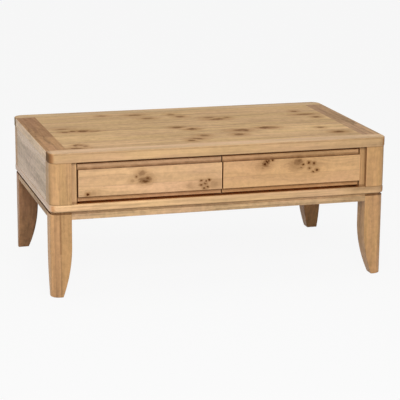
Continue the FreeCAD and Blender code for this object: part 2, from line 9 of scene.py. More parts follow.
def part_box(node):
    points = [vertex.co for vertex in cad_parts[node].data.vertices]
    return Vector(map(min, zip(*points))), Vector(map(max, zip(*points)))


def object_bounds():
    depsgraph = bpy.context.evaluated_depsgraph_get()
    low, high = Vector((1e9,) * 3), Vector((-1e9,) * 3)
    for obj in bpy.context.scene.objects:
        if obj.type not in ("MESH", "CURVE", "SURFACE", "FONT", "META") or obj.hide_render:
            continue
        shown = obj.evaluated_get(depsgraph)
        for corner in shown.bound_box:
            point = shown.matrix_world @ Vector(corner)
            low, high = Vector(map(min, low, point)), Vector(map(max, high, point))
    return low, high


bl_info = {
    "name": "Oak Coffee Table",
    "version": (1, 0, 0),
    "blender": (4, 5, 0),
    "location": "View3D > Sidebar > Coffee Table",
    "description": "Finishes a two-drawer oak coffee table and sets up its studio",
    "category": "Object",
}

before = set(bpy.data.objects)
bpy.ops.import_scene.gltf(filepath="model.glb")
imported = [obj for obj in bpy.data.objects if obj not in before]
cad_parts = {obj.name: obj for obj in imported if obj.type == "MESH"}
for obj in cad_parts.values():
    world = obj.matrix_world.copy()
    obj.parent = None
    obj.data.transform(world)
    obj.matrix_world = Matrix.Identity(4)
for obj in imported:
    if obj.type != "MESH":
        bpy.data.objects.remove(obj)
CAD_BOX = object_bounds()

SIDES = ("left", "right")
ENDS = ("front", "rear")
CORNERS = [end + "_" + side for end in ENDS for side in SIDES]
FRONT_CORNERS = CORNERS[:2]

# Turns of a board so that its grain runs along X of the pattern
GRAIN_TURN = {
    "x": (0.0, 0.0, 0.0),
    "y": (0.0, 0.0, -math.pi / 2),
    "z": (0.0, math.pi / 2, 0.0),
}
GRAIN_AXIS = {"x": (1, 0, 0), "y": (0, 1, 0), "z": (0, 0, 1)}

# Knots: place on the face, half sizes along X and across it, in metres, and how dark the heart is
FIELD_KNOTS = [
    (-0.435, 0.045, 0.020, 0.011, 0.4), (-0.435, -0.005, 0.014, 0.011, 0.55),
    (-0.410, 0.005, 0.009, 0.011, 0.6), (-0.380, 0.000, 0.023, 0.014, 0.7),
    (-0.345, -0.010, 0.024, 0.008, 0.35), (-0.440, -0.215, 0.012, 0.011, 0.55),
    (-0.430, -0.215, 0.009, 0.011, 0.4), (-0.450, -0.255, 0.022, 0.010, 0.6),
    (-0.420, -0.230, 0.009, 0.016, 0.4), (-0.260, 0.240, 0.015, 0.011, 0.4),
    (-0.150, 0.225, 0.023, 0.013, 0.45), (-0.120, 0.160, 0.020, 0.014, 0.5),
    (-0.025, 0.210, 0.014, 0.012, 0.45), (-0.005, 0.165, 0.015, 0.013, 0.55),
    (-0.065, -0.015, 0.016, 0.013, 0.55), (-0.025, -0.050, 0.016, 0.014, 0.7),
    (-0.075, -0.225, 0.011, 0.012, 0.65), (-0.050, -0.205, 0.019, 0.013, 0.55),
    (0.105, 0.095, 0.026, 0.014, 0.7), (0.085, 0.125, 0.019, 0.012, 0.45),
    (0.145, 0.115, 0.011, 0.011, 0.5), (-0.015, -0.160, 0.016, 0.013, 0.5),
    (0.125, -0.105, 0.026, 0.014, 0.6), (0.140, -0.115, 0.009, 0.011, 0.7),
    (0.100, -0.170, 0.016, 0.013, 0.6), (0.220, -0.085, 0.022, 0.013, 0.7),
    (0.245, -0.090, 0.018, 0.011, 0.45), (0.405, 0.165, 0.011, 0.012, 0.55),
    (0.425, 0.105, 0.032, 0.012, 0.55), (0.445, 0.050, 0.012, 0.013, 0.6),
    (0.395, -0.125, 0.011, 0.011, 0.55), (0.430, -0.205, 0.018, 0.014, 0.7),
]
DRAWER_KNOTS = {
    "left": [
        (-0.252, 0.360, 0.015, 0.009, 0.5), (-0.249, 0.355, 0.011, 0.005, 0.85),
        (-0.242, 0.363, 0.005, 0.005, 0.8), (-0.260, 0.381, 0.012, 0.008, 0.45),
        (-0.278, 0.370, 0.003, 0.003, 0.75), (-0.290, 0.358, 0.008, 0.005, 0.25),
        (-0.058, 0.334, 0.018, 0.013, 0.25), (-0.028, 0.333, 0.014, 0.012, 0.2),
        (-0.100, 0.332, 0.018, 0.010, 0.18), (-0.044, 0.347, 0.004, 0.003, 1.0),
        (-0.053, 0.344, 0.003, 0.003, 0.75), (-0.070, 0.346, 0.004, 0.003, 0.8),
        (-0.070, 0.332, 0.004, 0.003, 0.85), (-0.057, 0.336, 0.004, 0.003, 0.85),
        (-0.060, 0.321, 0.004, 0.003, 0.85), (-0.049, 0.325, 0.004, 0.003, 0.85),
        (-0.431, 0.323, 0.005, 0.004, 1.0), (-0.415, 0.325, 0.012, 0.006, 0.2),
    ],
    "right": [
        (0.143, 0.388, 0.013, 0.010, 0.4), (0.139, 0.387, 0.005, 0.005, 0.95),
        (0.145, 0.393, 0.005, 0.004, 0.95), (0.151, 0.397, 0.004, 0.003, 0.9),
        (0.164, 0.398, 0.004, 0.003, 1.0), (0.133, 0.375, 0.005, 0.005, 0.35),
        (0.250, 0.386, 0.015, 0.011, 0.5), (0.253, 0.392, 0.007, 0.004, 0.65),
        (0.288, 0.372, 0.028, 0.018, 0.16), (0.267, 0.379, 0.004, 0.003, 0.9),
        (0.286, 0.384, 0.005, 0.004, 0.95), (0.303, 0.381, 0.004, 0.004, 0.9),
        (0.260, 0.370, 0.004, 0.003, 0.5), (0.288, 0.366, 0.004, 0.003, 0.75),
        (0.314, 0.359, 0.005, 0.004, 1.0), (0.302, 0.354, 0.005, 0.003, 0.8),
        (0.132, 0.380, 0.026, 0.015, 0.14), (0.240, 0.374, 0.024, 0.016, 0.16),
    ],
}
# Height of the glue line across each drawer front
DRAWER_JOINT = {"left": 0.348, "right": 0.352}
# Bands above and below the raised fields of the drawer fronts, and how far they stand back
UPPER_BAND = 0.0162
LOWER_BAND = 0.0148
BAND_DEPTH = 0.013
# Painted shade and painted warm shade on the drawer fronts: how thick on the lower band, and how far the
# narrow lines of painted shade reach
LOWER_BAND_SHADE = {"left": 0.28, "right": 0.22}
LOWER_BAND_WARM_SHADE = 0.25
LEDGE_DEPTH = 0.0095
FOOT_LINE = 0.0025
LEFT_END_LINE = 0.0008
BAND_END_LINE = 0.002
TOP_EDGE_LINE = 0.0003
# Darker wood on the left drawer front: where it starts, and its height
DARK_STREAK_START = -0.055
DARK_STREAK = (0.319, 0.345)
# Finger groove under the drawers, painted with warm shade: half its length, its front and back edges and its
# depth
GROOVE_REACH = 0.4635
GROOVE_EDGES = (-0.3165, -0.2735)
GROOVE_DEPTH = 0.006
# Quirk under the moulding, and how thick the painted shade in it is on each leg and apron
QUIRK_HEIGHT = 0.007
LEG_QUIRK_SHADE = {"front_left": 0.7, "front_right": 0.8, "rear_left": 0.95, "rear_right": 0.5}
APRON_QUIRK_SHADE = {"front": 0.4, "rear": 0.4, "left": 1.0, "right": 1.0}
# Glue line in the front left leg: its place along the table and its height
LEG_JOINT = -0.5175
LEG_JOINT_SPAN = (0.14, 0.27)
# Darker wood along the inner edge of the end boards, and where it starts
INNER_EDGE = 0.03
INNER_EDGE_START = -0.05
INNER_EDGE_WAX = {"left": 0.42, "right": 0.25}
# Painted shade along the front arris of the top, and the dark left end of the front rail: darker end grain
# with painted shade
RAIL_LINE_DEPTH = 0.003
RAIL_LINE_FOOT = 0.004
RAIL_END = 0.002
# Lines of painted shade at the heads, feet and inner edges of the posts, and at the feet of the stiles
POST_HEAD = 0.0015
POST_FOOT = 0.002
POST_EDGE = (0.0015, 0.0135)
STILE_FOOT = 0.004
# How far the painted shade on the base frame reaches before and behind the face of each stile
STILE_LEDGE = (0.008, 0.002)
# Painted shade at the front right corner of the base frame and at the right end of the front apron
RIGHT_CORNER_SHADE_X = (0.45, 0.56)
RIGHT_CORNER_SHADE_Y = (-0.33, -0.29)
APRON_END_SHADE = (0.44, 0.5)
# Skin of wood at a face that the painted shade, painted warm shade and darker wood take in
SKIN = 0.001
THIN_SKIN = 0.0005
# How rough the side faces with a painted-light colour of their own are, and how much paler the front left
# leg's side faces are painted
SIDE_ROUGHNESS = {"end_board": 0.32, "moulding": 0.35, "leg": 0.45}
LEG_LIT_SIDE_TONE = 1.5

# How often each mark comes in a metre, along the grain and across it both ways
MARKS = {
    "drift": (1.7, 6.0, 6.0),
    "ragged_ring": (5.0, 50.0, 50.0),
    "ring_strength": (1.6, 14.0, 14.0),
    "fibre": (8.0, 150.0, 150.0),
    "streak": (2.2, 34.0, 34.0),
    "mottle": (55.0, 75.0, 75.0),
    "pore": (70.0, 1300.0, 1300.0),
    "warmth": (4.0, 22.0, 22.0),
    "knot_outline": (120.0, 220.0, 220.0),
    "arris_breakup": (30.0, 30.0, 30.0),
    "wax": (60.0, 60.0, 60.0),
    "zinc": (400.0, 400.0, 400.0),
}
ACROSS_GRAIN = (0, 1, 1)
# Middle of a noise, the range that holds most of it, and the narrower ranges that the worn and painted arris
# strip, the painted shade and darker wood, and the pores take
NOISE_MIDDLE = (0.5, 0.5, 0.5)
NOISE_BODY = (0.35, 0.65)
PATCHES = (0.3, 0.6)
PORE_RANGE = (0.60, 0.72)
# Growth rings: how ragged they are, how sharply the late wood ends, and the tone that they lie round
RING_RAGGEDNESS = 2.5
LATE_WOOD_POWER = 1.8
MEAN_TONE = 0.375
# Pores: how many lie in the early wood and how many more in the late wood, their colour and its share
EARLY_PORES = 0.3
LATE_PORES = 0.7
PORE_COLOUR = (0.05, 0.025, 0.012, 1)
PORE_COLOUR_SHARE = 0.6
# How the tone of the grain changes its roughness, and how high the fibres stand against the pores
SMOOTH_TONE = 0.4
ROUGHNESS_SHARE = 0.15
FIBRE_HEIGHT = 0.6
# Heart and ring of a knot in half sizes from its centre, the ring's stain, its edge, push and hollow
KNOT_HEART = (1.35, 0.55)
KNOT_RING = (3.4, 0.9)
KNOT_RING_LEAST = 0.05
KNOT_RING_SHARE = 0.6
KNOT_RAGGEDNESS = 1.6
KNOT_PUSH = -0.5
KNOT_HOLLOW = 1.2
# Glued staves: how far apart their grain lies, half the glue line's width with its fade, and their tones
STAVE_SHIFT = 3.0
GLUE_LINE = (0.0016, 0.0004)
GLUE_LINE_SHARE = 0.35
STAVE_DARK_TONE = 0.7
# Where a face counts as a side or as end grain, by how squarely it looks along the axis
SIDE_FACING = (0.5, 0.9)
END_FACING = (0.4, 0.7)
SQUARE_END_FACING = (0.85, 0.98)
END_GRAIN_SHARE = 0.85
END_GRAIN_TONE = 0.42
END_GRAIN_ROUGHNESS = 0.3
REDDENING = (0.85, 0.65, 0.52)
# Relief of the grain
BUMP_STRENGTH = 0.25
BUMP_DISTANCE = 0.0006
# How far apart boards with neighbouring seeds lie in the tree
SEED_STEPS = (0.61, 0.023, 0.017)
# Tones and roughness of the zinc
ZINC_TONES = (0.8, 1.1)
ZINC_ROUGHNESS = (0.28, 0.45)
# Half the width of the floor
FLOOR_REACH = 30.0


# Properties

def colour(name, description, default):
    return FloatVectorProperty(
        name=name, description=description, subtype="COLOR", size=3, min=0.0, max=1.0, default=default)


def length(name, description, default):
    return FloatProperty(name=name, description=description, subtype="DISTANCE", unit="LENGTH", min=0.0,
                         default=default)


def angle(name, description, degrees):
    return FloatProperty(name=name, description=description, subtype="ANGLE", unit="ROTATION",
                         default=math.radians(degrees))


def share(name, description, default):
    return FloatProperty(name=name, description=description, subtype="FACTOR", min=0.0, max=1.0,
                         default=default)


def power(name, description, default):
    return FloatProperty(name=name, description=description, unit="POWER", default=default)


class TABLE_PG_colours(bpy.types.PropertyGroup):
    """Mean colours of the boards and fixings, with the colours of painted light and painted shade"""

    field: colour("Field", "Knotty panel in the middle of the top", (0.58, 0.38, 0.20))
    front_rail: colour("Front Rail", "Front rail of the top", (0.57, 0.36, 0.187))
    rear_rail: colour("Rear Rail", "Rear rail of the top", (0.50, 0.33, 0.17))
    left_end_board: colour("Left End Board", "Left board of the top", (0.383, 0.206, 0.092))
    right_end_board: colour("Right End Board", "Right board of the top", (0.415, 0.25, 0.13))
    left_drawer: colour("Left Drawer", "Front of the left drawer", (0.701, 0.433, 0.234))
    right_drawer: colour("Right Drawer", "Front of the right drawer", (0.685, 0.407, 0.203))
    # Painted light: the outer edge faces of the end boards are painted much paler than their tops
    board_edge: colour("Board Edges", "Outer edges of the end boards", (0.89, 0.57, 0.29))
    left_post: colour("Left Posts", "Corner posts on the left", (0.538, 0.314, 0.142))
    right_post: colour("Right Posts", "Corner posts on the right", (0.559, 0.317, 0.14))
    left_stile: colour("Left Stile", "Narrow stile on the left of the drawers", (0.603, 0.363, 0.175))
    right_stile: colour("Right Stile", "Narrow stile on the right of the drawers", (0.525, 0.3, 0.134))
    panel: colour("Panels", "End panels and back panel", (0.555, 0.342, 0.16))
    moulding: colour("Moulding", "Base frame with the moulded edge", (0.742, 0.47, 0.245))
    # Painted sheen: the end faces of the side mouldings are painted greyer than the moulding
    moulding_end: colour("Moulding Ends", "Outer faces of the moulding at the ends", (0.72, 0.475, 0.29))
    apron: colour("Aprons", "Rails between the legs", (0.60, 0.385, 0.21))
    front_left_leg: colour("Front Left Leg", "Front leg on the left", (0.483, 0.271, 0.122))
    front_right_leg: colour("Front Right Leg", "Front leg on the right", (0.554, 0.312, 0.14))
    # Painted shade: the rear legs are coloured as they look in shade under the table, the left much darker
    # and both redder than the front legs
    rear_left_leg: colour("Rear Left Leg", "Rear leg on the left", (0.45, 0.235, 0.118))
    rear_right_leg: colour("Rear Right Leg", "Rear leg on the right", (0.57, 0.30, 0.13))
    inside: colour("Inside", "Rails, guides and blocks out of sight", (0.55, 0.36, 0.20))
    drawer_box: colour("Drawer Boxes", "Sides, backs and stop blocks of the drawers", (0.60, 0.41, 0.24))
    plywood: colour("Plywood", "Bottoms of the drawers", (0.62, 0.45, 0.28))
    knot: colour("Knots", "Hearts of the knots", (0.075, 0.018, 0.001))
    knot_ring: colour("Knot Rings", "Stained wood round the knots", (0.27, 0.12, 0.034))
    # Painted shade in corners, grooves, gaps and quirks, and darker wood in a few places
    wax: colour("Wax", "Old wax in corners and grooves, and darker wood", (0.10, 0.030, 0.003))
    # Painted warm shade: red-brown colour in the shaded gaps, the finger groove and the lower bands of the
    # drawers
    stain: colour("Stain", "Red-brown wood in the gaps and lower bands of the drawers", (0.60, 0.21, 0.035))
    zinc: colour("Zinc", "Plated screws, bolts, nuts and washers", (0.60, 0.60, 0.58))


class TABLE_PG_figure(bpy.types.PropertyGroup):
    """How the grain of the oak is drawn"""

    ring_width: length("Ring Width", "Mean width of a growth ring", 0.009)
    wander: length("Wander", "How far the rings wander along a board", 0.035)
    heart_depth: length("Heart Depth", "How far the heart of the tree lies behind a board's face", 0.09)
    stave_width: length("Stave Width", "Width of the staves of the field and the front left leg", 0.108)
    drawer_stave_width: length("Drawer Stave Width", "Width of the staves of the drawer fronts", 0.09)
    # The strip along an edge takes wear, painted highlight where it is made lighter and painted shade where
    # it is made darker
    arris_width: length("Arris Width", "Width of the worn strip along an edge", 0.0025)
    depth: share("Dark Share", "How much darker than the mean the late wood is", 0.44)
    light: share("Light Share", "How much lighter than the mean the early wood is", 0.28)


class TABLE_PG_studio(bpy.types.PropertyGroup):
    """Camera, lamps and floor"""

    camera_place: FloatVectorProperty(
        name="Camera Place", description="Where the camera stands", subtype="TRANSLATION", unit="LENGTH",
        size=3, default=(-1.411, -4.892, 1.467))
    camera_bearing: angle("Camera Bearing", "Turn of the camera to the right of the table's depth", 16.307)
    camera_tilt: angle("Camera Tilt", "How far the camera looks down", 13.948)
    camera_roll: angle("Camera Roll", "Turn of the camera about its own axis", 0.478)
    camera_lens: FloatProperty(name="Camera Lens", description="Focal length in millimetres", default=141.256)
    key_power: power("Key Power", "Power of the main lamp", 87.0)
    key_size: length("Key Size", "Width of the main lamp", 1.4)
    key_distance: length("Key Distance", "How far the main lamp stands from the table", 3.6)
    key_bearing: angle("Key Bearing", "How far left of the table's front the main lamp stands", 12.0)
    key_elevation: angle("Key Elevation", "Height of the main lamp as an angle", 30.0)
    top_power: power("Top Power", "Power of the lamp overhead", 22.0)
    top_size: length("Top Size", "Width of the lamp overhead", 1.8)
    top_distance: length("Top Distance", "How far the lamp overhead hangs from the table", 2.8)
    side_power: power("Side Power", "Power of the lamp on the left", 10.5)
    side_size: length("Side Size", "Width of the lamp on the left", 1.5)
    side_distance: length("Side Distance", "How far the lamp on the left stands from the table", 3.0)
    side_elevation: angle("Side Elevation", "Height of the lamp on the left as an angle", 20.0)
    back_power: power("Back Power", "Power of the low lamp behind the table", 44.0)
    back_size: length("Back Size", "Width of the lamp behind the table", 1.2)
    back_distance: length("Back Distance", "How far the lamp behind stands from the table", 3.6)
    back_bearing: angle("Back Bearing", "How far left of the table's front the lamp behind stands", 222.0)
    back_elevation: angle("Back Elevation", "Height of the lamp behind as an angle", 6.0)
    sky: share("Sky Light", "Level of the light from all round", 0.30)
    backdrop: share("Backdrop", "Brightness of the floor and backdrop as seen", 0.949)
    shadow: share("Shadow", "How much of the floor's brightness its shadows take", 0.04)
    floor: share("Floor", "How much light the floor throws back", 0.45)


# Node helpers

def place_node(tree, kind, inputs=None, **settings):
    """A shader node with its settings made and its inputs set or joined."""
    node = tree.nodes.new("ShaderNode" + kind)
    for name, value in settings.items():
        setattr(node, name, value)
    fill_inputs(tree, node, inputs or {})
    return node


def fill_inputs(tree, node, inputs):
    for name, value in inputs.items():
        if isinstance(value, bpy.types.NodeSocket):
            tree.links.new(value, node.inputs[name])
        else:
            node.inputs[name].default_value = value


def maths(tree, operation, first, second=0.0, clamp=False):
    node = place_node(tree, "Math", {0: first, 1: second}, operation=operation, use_clamp=clamp)
    return node.outputs[0]


def vector_maths(tree, operation, first, second=(0, 0, 0)):
    node = place_node(tree, "VectorMath", {0: first, 1: second}, operation=operation)
    return node.outputs["Value" if operation in ("LENGTH", "DOT_PRODUCT") else "Vector"]


def scaled(tree, vector, factor):
    return place_node(tree, "VectorMath", {0: vector, "Scale": factor}, operation="SCALE").outputs["Vector"]


def stretch(tree, value, low, high, to_low=0.0, to_high=1.0):
    """A value moved smoothly from one range to another, and held at its ends."""
    node = place_node(tree, "MapRange", {0: value, 1: low, 2: high, 3: to_low, 4: to_high},
                      interpolation_type="SMOOTHSTEP")
    return node.outputs[0]


def mixed(tree, factor, first, second, mode="MIX"):
    """Two colours mixed by a factor."""
    node = place_node(tree, "Mix", {0: factor, 6: first, 7: second}, data_type="RGBA", blend_type=mode)
    return node.outputs[2]


def noise(tree, vector, scales, detail=2.0, roughness=0.5):
    """Noise stretched by its own scale along each axis."""
    moved = vector_maths(tree, "MULTIPLY", vector, scales)
    return place_node(tree, "TexNoise", {
        "Vector": moved, "Scale": 1.0, "Detail": detail, "Roughness": roughness})


def new_group(name, inputs, outputs):
    """An empty node group with its sockets, and its inside ends."""
    tree = bpy.data.node_groups.new(name, "ShaderNodeTree")
    for socket_name, kind, default in inputs:
        socket = tree.interface.new_socket(socket_name, in_out="INPUT", socket_type="NodeSocket" + kind)
        if default is not None:
            socket.default_value = default
    for socket_name, kind in outputs:
        tree.interface.new_socket(socket_name, in_out="OUTPUT", socket_type="NodeSocket" + kind)
    ends = tree.nodes.new("NodeGroupInput"), tree.nodes.new("NodeGroupOutput")
    return tree, ends[0].outputs, ends[1].inputs


def use_group(tree, name, inputs):
    node = tree.nodes.new("ShaderNodeGroup")
    node.node_tree = bpy.data.node_groups[name]
    fill_inputs(tree, node, inputs)
    return node.outputs


# Effects shared by the finishes

def make_grain_group():
    """Growth rings, fibres, mottle and pores of oak, with the grain along X of the vector."""
    tree, given, result = new_group(
        "Oak Grain",
        [("Vector", "Vector", None), ("Pale", "Color", (0.7, 0.45, 0.25, 1)),
         ("Dark", "Color", (0.4, 0.22, 0.1, 1)), ("Ring Width", "Float", 0.0045), ("Wander", "Float", 0.035),
         *[(kind, "Float", 0.5) for kind in ("Figure", "Fibre", "Mottle", "Streak", "Pores")]],
        [("Color", "Color"), ("Roughness", "Float"), ("Height", "Float")])
    place = given["Vector"]
    drift = noise(tree, place, MARKS["drift"]).outputs["Color"]
    drift = vector_maths(tree, "SUBTRACT", drift, NOISE_MIDDLE)
    drift = scaled(tree, vector_maths(tree, "MULTIPLY", drift, ACROSS_GRAIN), given["Wander"])
    section = vector_maths(tree, "MULTIPLY", vector_maths(tree, "ADD", place, drift), ACROSS_GRAIN)
    radius = vector_maths(tree, "LENGTH", section)
    ragged = noise(tree, place, MARKS["ragged_ring"], detail=3.0).outputs[0]
    rings = maths(tree, "ADD", maths(tree, "DIVIDE", radius, given["Ring Width"]),
                  maths(tree, "MULTIPLY", ragged, RING_RAGGEDNESS))
    year = place_node(tree, "TexWhiteNoise", {"W": maths(tree, "FLOOR", rings)}, noise_dimensions="1D")
    late = maths(tree, "POWER", maths(tree, "FRACT", rings), LATE_WOOD_POWER)
    strength = stretch(tree, noise(tree, place, MARKS["ring_strength"]).outputs[0], *NOISE_BODY, 0.1, 1.0)
    late = maths(tree, "MULTIPLY", maths(tree, "MULTIPLY", late, year.outputs["Value"]), strength)
    fibre = noise(tree, place, MARKS["fibre"], detail=4.0, roughness=0.65).outputs[0]
    streak = noise(tree, place, MARKS["streak"], detail=3.0, roughness=0.6).outputs[0]
    mottle = noise(tree, place, MARKS["mottle"], detail=4.0, roughness=0.65).outputs[0]
    pore = stretch(tree, noise(tree, place, MARKS["pore"], detail=1.0).outputs[0], *PORE_RANGE)
    open_wood = maths(tree, "ADD", maths(tree, "MULTIPLY", late, LATE_PORES), EARLY_PORES)
    pore = maths(tree, "MULTIPLY", pore, open_wood)
    tone = maths(tree, "MULTIPLY", late, given["Figure"])
    for mark, share_name in ((fibre, "Fibre"), (mottle, "Mottle")):
        mark = maths(tree, "SUBTRACT", mark, 0.5)
        tone = maths(tree, "ADD", tone, maths(tree, "MULTIPLY", mark, given[share_name]))
    streak = stretch(tree, streak, 0.25, 0.75, -0.5, 0.5)
    tone = maths(tree, "ADD", tone, maths(tree, "MULTIPLY", streak, given["Streak"]))
    tone = maths(tree, "ADD", tone, MEAN_TONE, clamp=True)
    warm = noise(tree, place, MARKS["warmth"], detail=2.0).outputs[0]
    tinge = mixed(tree, stretch(tree, warm, *NOISE_BODY), (1.0, 1.015, 0.97, 1), (1.0, 0.985, 1.02, 1))
    grained = mixed(tree, 1.0, mixed(tree, tone, given["Pale"], given["Dark"]), tinge, "MULTIPLY")
    pore_colour = mixed(tree, PORE_COLOUR_SHARE, given["Dark"], PORE_COLOUR)
    pore_share = maths(tree, "MULTIPLY", pore, given["Pores"])
    tree.links.new(mixed(tree, pore_share, grained, pore_colour), result["Color"])
    rough = maths(tree, "MULTIPLY", maths(tree, "SUBTRACT", tone, SMOOTH_TONE), ROUGHNESS_SHARE)
    tree.links.new(rough, result["Roughness"])
    height = maths(tree, "SUBTRACT", maths(tree, "MULTIPLY", fibre, FIBRE_HEIGHT), pore)
    tree.links.new(height, result["Height"])


def make_knot_group():
    """One knot more: its dark heart, the stained ring round it and the push that it gives the grain."""
    tree, given, result = new_group(
        "Oak Knot",
        [("Vector", "Vector", None), ("Heart", "Float", 0.0), ("Ring", "Float", 0.0),
         ("Centre", "Vector", (0, 0, 0)), ("Size", "Vector", (0.01, 0.01, 0.01)), ("Dark", "Float", 1.0)],
        [("Vector", "Vector"), ("Heart", "Float"), ("Ring", "Float")])
    away = vector_maths(tree, "SUBTRACT", given["Vector"], given["Centre"])
    ragged = noise(tree, given["Vector"], MARKS["knot_outline"], detail=3.0).outputs["Color"]
    ragged = scaled(tree, vector_maths(tree, "SUBTRACT", ragged, NOISE_MIDDLE), KNOT_RAGGEDNESS)
    reach = vector_maths(tree, "ADD", vector_maths(tree, "DIVIDE", away, given["Size"]), ragged)
    distance = vector_maths(tree, "LENGTH", reach)
    heart = maths(tree, "MULTIPLY", stretch(tree, distance, *KNOT_HEART), given["Dark"])
    near = stretch(tree, distance, *KNOT_RING)
    stain = maths(tree, "ADD", maths(tree, "MULTIPLY", given["Dark"], KNOT_RING_SHARE), KNOT_RING_LEAST)
    ring = maths(tree, "MULTIPLY", near, stain)
    push = scaled(tree, away, maths(tree, "MULTIPLY", near, KNOT_PUSH))
    tree.links.new(maths(tree, "MAXIMUM", given["Heart"], heart), result["Heart"])
    tree.links.new(maths(tree, "MAXIMUM", given["Ring"], ring), result["Ring"])
    tree.links.new(vector_maths(tree, "ADD", given["Vector"], push), result["Vector"])


def make_arris_group():
    """How near a point of a board is to one of its long edges, broken up as handling wears it. The finish
    lightens this strip as wear and painted highlight, and on some boards darkens it as painted shade.
    """
    tree, given, result = new_group(
        "Worn Arris",
        [("Vector", "Vector", None), ("Low", "Vector", (0, 0, 0)), ("High", "Vector", (1, 1, 1)),
         ("Width", "Float", 0.0025)],
        [("Worn", "Float")])
    inside = vector_maths(tree, "MINIMUM", vector_maths(tree, "SUBTRACT", given["Vector"], given["Low"]),
                          vector_maths(tree, "SUBTRACT", given["High"], given["Vector"]))
    parts = place_node(tree, "SeparateXYZ", {0: inside}).outputs
    least = maths(tree, "MINIMUM", parts[0], maths(tree, "MINIMUM", parts[1], parts[2]))
    most = maths(tree, "MAXIMUM", parts[0], maths(tree, "MAXIMUM", parts[1], parts[2]))
    total = maths(tree, "ADD", parts[0], maths(tree, "ADD", parts[1], parts[2]))
    middle = maths(tree, "SUBTRACT", maths(tree, "SUBTRACT", total, least), most)
    near = stretch(tree, maths(tree, "DIVIDE", middle, given["Width"]), 1.0, 0.2)
    patchy = noise(tree, given["Vector"], MARKS["arris_breakup"], detail=3.0).outputs[0]
    tree.links.new(maths(tree, "MULTIPLY", near, stretch(tree, patchy, *PATCHES, 0.35, 1.0)), result["Worn"])


def make_stave_group():
    """Staves glued side by side: a shift of the grain and a change of tone for each, and the glue lines."""
    tree, given, result = new_group(
        "Glued Staves",
        [("Across", "Float", 0.0), ("Width", "Float", 0.1), ("Seed", "Float", 0.0)],
        [("Shift", "Vector"), ("Tone", "Float"), ("Joint", "Float")])
    counted = maths(tree, "DIVIDE", given["Across"], given["Width"])
    index = maths(tree, "ADD", maths(tree, "FLOOR", counted), given["Seed"])
    chance = place_node(tree, "TexWhiteNoise", {"W": index}, noise_dimensions="1D")
    tree.links.new(scaled(tree, chance.outputs["Color"], STAVE_SHIFT), result["Shift"])
    tree.links.new(chance.outputs["Value"], result["Tone"])
    edge = maths(tree, "ABSOLUTE", maths(tree, "SUBTRACT", maths(tree, "FRACT", counted), 0.5))
    from_joint = maths(tree, "MULTIPLY", maths(tree, "SUBTRACT", 0.5, edge), given["Width"])
    tree.links.new(stretch(tree, from_joint, *GLUE_LINE), result["Joint"])


def make_shade_and_dark_wood_group():
    """Painted shade, painted warm shade and darker wood: thick inside a box, fading away round it, and a
    little patchy.
    """
    tree, given, result = new_group(
        "Old Wax",
        [("Vector", "Vector", None), ("Wax", "Float", 0.0), ("Low", "Vector", (0, 0, 0)),
         ("High", "Vector", (1, 1, 1)), ("Fade", "Float", 0.003), ("Strength", "Float", 0.5)],
        [("Wax", "Float")])
    outside = vector_maths(tree, "MAXIMUM", vector_maths(tree, "SUBTRACT", given["Low"], given["Vector"]),
                           vector_maths(tree, "SUBTRACT", given["Vector"], given["High"]))
    distance = vector_maths(tree, "LENGTH", vector_maths(tree, "MAXIMUM", outside, (0, 0, 0)))
    near = stretch(tree, maths(tree, "DIVIDE", distance, given["Fade"]), 1.0, 0.0)
    patchy = noise(tree, given["Vector"], MARKS["wax"], detail=3.0).outputs[0]
    laid = maths(tree, "MULTIPLY", near, stretch(tree, patchy, *PATCHES, 0.7, 1.0))
    laid = maths(tree, "MULTIPLY", laid, given["Strength"])
    tree.links.new(maths(tree, "MAXIMUM", given["Wax"], laid), result["Wax"])


def make_shared_groups():
    make_grain_group()
    make_knot_group()
    make_arris_group()
    make_stave_group()
    make_shade_and_dark_wood_group()


# Finishes

def new_material(name):
    material = bpy.data.materials.new(name)
    material.use_nodes = True
    material.node_tree.nodes.clear()
    return material


def shade(tint, factor):
    return (*[min(1.0, part * factor) for part in tint], 1.0)


def reddened(tint):
    return (*[part * cut for part, cut in zip(tint, REDDENING)], 1.0)


